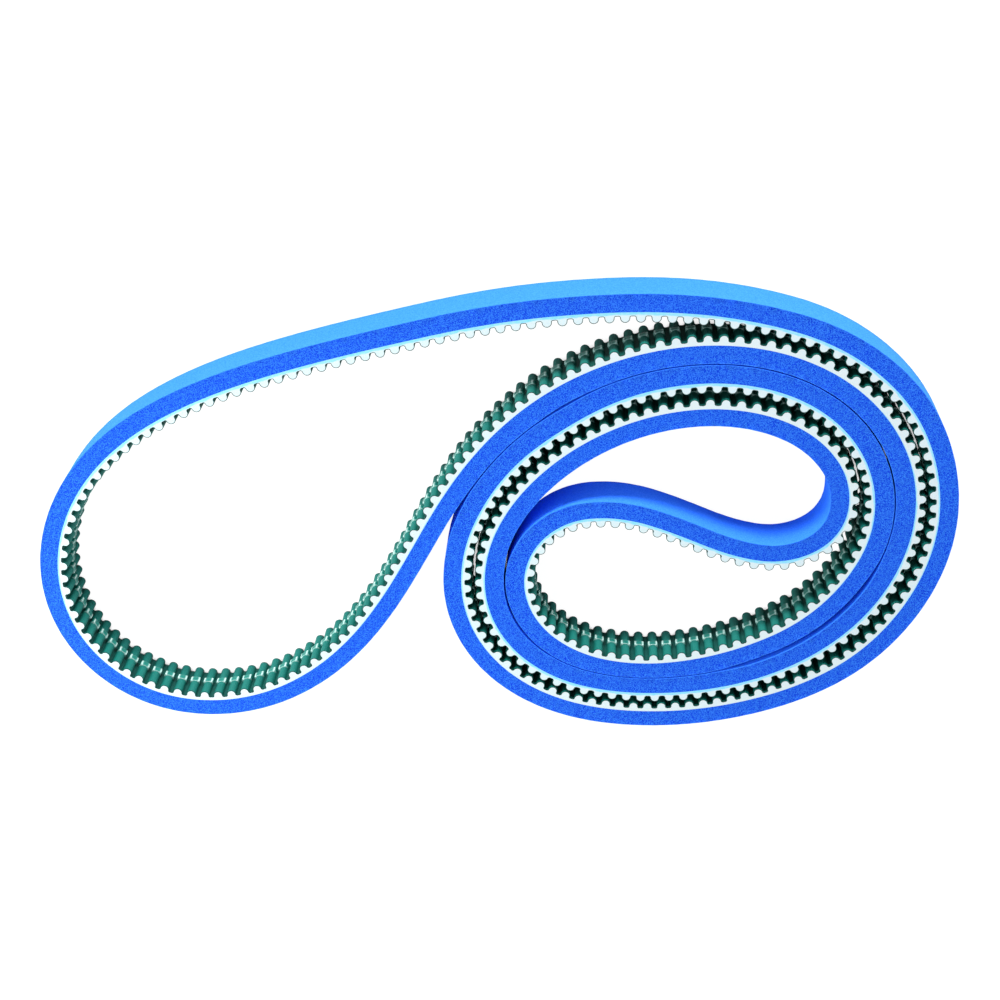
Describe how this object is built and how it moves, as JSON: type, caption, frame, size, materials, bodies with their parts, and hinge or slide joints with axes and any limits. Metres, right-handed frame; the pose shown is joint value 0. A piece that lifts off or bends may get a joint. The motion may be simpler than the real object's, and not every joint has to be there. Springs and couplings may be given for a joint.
{
  "type": "timing belt",
  "caption": "Long endless toothed belt with rounded teeth, fabric on the tooth side and a thick foam back, lying on its edge in a doubled coil with one free loop.",
  "frame": {"origin": "centre of the footprint's bounding box, on the plane the belt's lower edge stands on", "axes": "+Z across the belt's width, from the standing edge to the free edge; +X along the coiled belt's long extent, towards the coil; +Y towards the side where the free loop's upper strand runs"},
  "size_m": [0.4998, 0.2616, 0.025],
  "materials": {
    "polyurethane": "moulded white polyurethane, slightly translucent, satin",
    "tooth_fabric": "teal nylon tooth fabric, fine weave with a low sheen",
    "centre_band": "glossy green band, rounded shoulders",
    "foam": "blue fine-cell foam, cut faces speckled, back skin smooth and matt",
    "cord": "stranded steel cord"
  },
  "bodies": {
    "coil": {"belt_body_coil_1": "polyurethane", "tooth_fabric_coil_1": "tooth_fabric", "centre_band_coil_1": "centre_band", "foam_cover_coil_1": "foam", "tension_cords_coil_1": "cord", "belt_body_coil_2": "polyurethane", "tooth_fabric_coil_2": "tooth_fabric", "centre_band_coil_2": "centre_band", "foam_cover_coil_2": "foam", "tension_cords_coil_2": "cord", "belt_body_coil_3": "polyurethane", "tooth_fabric_coil_3": "tooth_fabric", "centre_band_coil_3": "centre_band", "foam_cover_coil_3": "foam", "tension_cords_coil_3": "cord", "belt_body_coil_4": "polyurethane", "tooth_fabric_coil_4": "tooth_fabric", "centre_band_coil_4": "centre_band", "foam_cover_coil_4": "foam", "tension_cords_coil_4": "cord"},
    "link_1": {"belt_body_link_1": "polyurethane", "tooth_fabric_link_1": "tooth_fabric", "centre_band_link_1": "centre_band", "foam_cover_link_1": "foam", "tension_cords_link_1": "cord"},
    "link_2": {"belt_body_link_2": "polyurethane", "tooth_fabric_link_2": "tooth_fabric", "centre_band_link_2": "centre_band", "foam_cover_link_2": "foam", "tension_cords_link_2": "cord"},
    "link_3": {"belt_body_link_3": "polyurethane", "tooth_fabric_link_3": "tooth_fabric", "centre_band_link_3": "centre_band", "foam_cover_link_3": "foam", "tension_cords_link_3": "cord"},
    "link_4": {"belt_body_link_4": "polyurethane", "tooth_fabric_link_4": "tooth_fabric", "centre_band_link_4": "centre_band", "foam_cover_link_4": "foam", "tension_cords_link_4": "cord"},
    "link_5": {"belt_body_link_5": "polyurethane", "tooth_fabric_link_5": "tooth_fabric", "centre_band_link_5": "centre_band", "foam_cover_link_5": "foam", "tension_cords_link_5": "cord"},
    "link_6": {"belt_body_link_6": "polyurethane", "tooth_fabric_link_6": "tooth_fabric", "centre_band_link_6": "centre_band", "foam_cover_link_6": "foam", "tension_cords_link_6": "cord"},
    "link_7": {"belt_body_link_7": "polyurethane", "tooth_fabric_link_7": "tooth_fabric", "centre_band_link_7": "centre_band", "foam_cover_link_7": "foam", "tension_cords_link_7": "cord"},
    "link_8": {"belt_body_link_8": "polyurethane", "tooth_fabric_link_8": "tooth_fabric", "centre_band_link_8": "centre_band", "foam_cover_link_8": "foam", "tension_cords_link_8": "cord"}
  },
  "joints": [
    {"name": "free_loop_flex_1", "type": "hinge", "parent": "coil", "child": "link_1", "pos_m": [-0.06032, -0.04865, 0.0125], "axis": [0, 0, 1], "range_deg": [-6.57, 6.57]},
    {"name": "free_loop_flex_2", "type": "hinge", "parent": "link_1", "child": "link_2", "pos_m": [-0.11469, -0.10617, 0.0125], "axis": [0, 0, 1], "range_deg": [-1.71, 1.71]},
    {"name": "free_loop_flex_3", "type": "hinge", "parent": "link_2", "child": "link_3", "pos_m": [-0.19161, -0.11464, 0.0125], "axis": [0, 0, 1], "range_deg": [-5.45, 5.45]},
    {"name": "free_loop_flex_4", "type": "hinge", "parent": "link_3", "child": "link_4", "pos_m": [-0.23819, -0.05432, 0.0125], "axis": [0, 0, 1], "range_deg": [-4.11, 4.11]},
    {"name": "free_loop_flex_5", "type": "hinge", "parent": "link_4", "child": "link_5", "pos_m": [-0.21544, 0.02018, 0.0125], "axis": [0, 0, 1], "range_deg": [-2.3, 2.3]},
    {"name": "free_loop_flex_6", "type": "hinge", "parent": "link_5", "child": "link_6", "pos_m": [-0.15137, 0.0668, 0.0125], "axis": [0, 0, 1], "range_deg": [-7, 7]},
    {"name": "free_loop_flex_7", "type": "hinge", "parent": "link_6", "child": "link_7", "pos_m": [-0.0758, 0.09281, 0.0125], "axis": [0, 0, 1], "range_deg": [-1.81, 1.81]},
    {"name": "free_loop_flex_8", "type": "hinge", "parent": "link_7", "child": "link_8", "pos_m": [0.00187, 0.1119, 0.0125], "axis": [0, 0, 1], "range_deg": [-6.22, 6.22]}
  ],
  "couplings": [
    {"joint": "free_loop_flex_1", "follows": "free_loop_flex_6", "ratio": 0.9354},
    {"joint": "free_loop_flex_2", "follows": "free_loop_flex_6", "ratio": 0.2414},
    {"joint": "free_loop_flex_3", "follows": "free_loop_flex_6", "ratio": -0.7759},
    {"joint": "free_loop_flex_4", "follows": "free_loop_flex_6", "ratio": -0.5843},
    {"joint": "free_loop_flex_5", "follows": "free_loop_flex_6", "ratio": 0.3256},
    {"joint": "free_loop_flex_7", "follows": "free_loop_flex_6", "ratio": -0.2564},
    {"joint": "free_loop_flex_8", "follows": "free_loop_flex_6", "ratio": -0.8858}
  ]
}
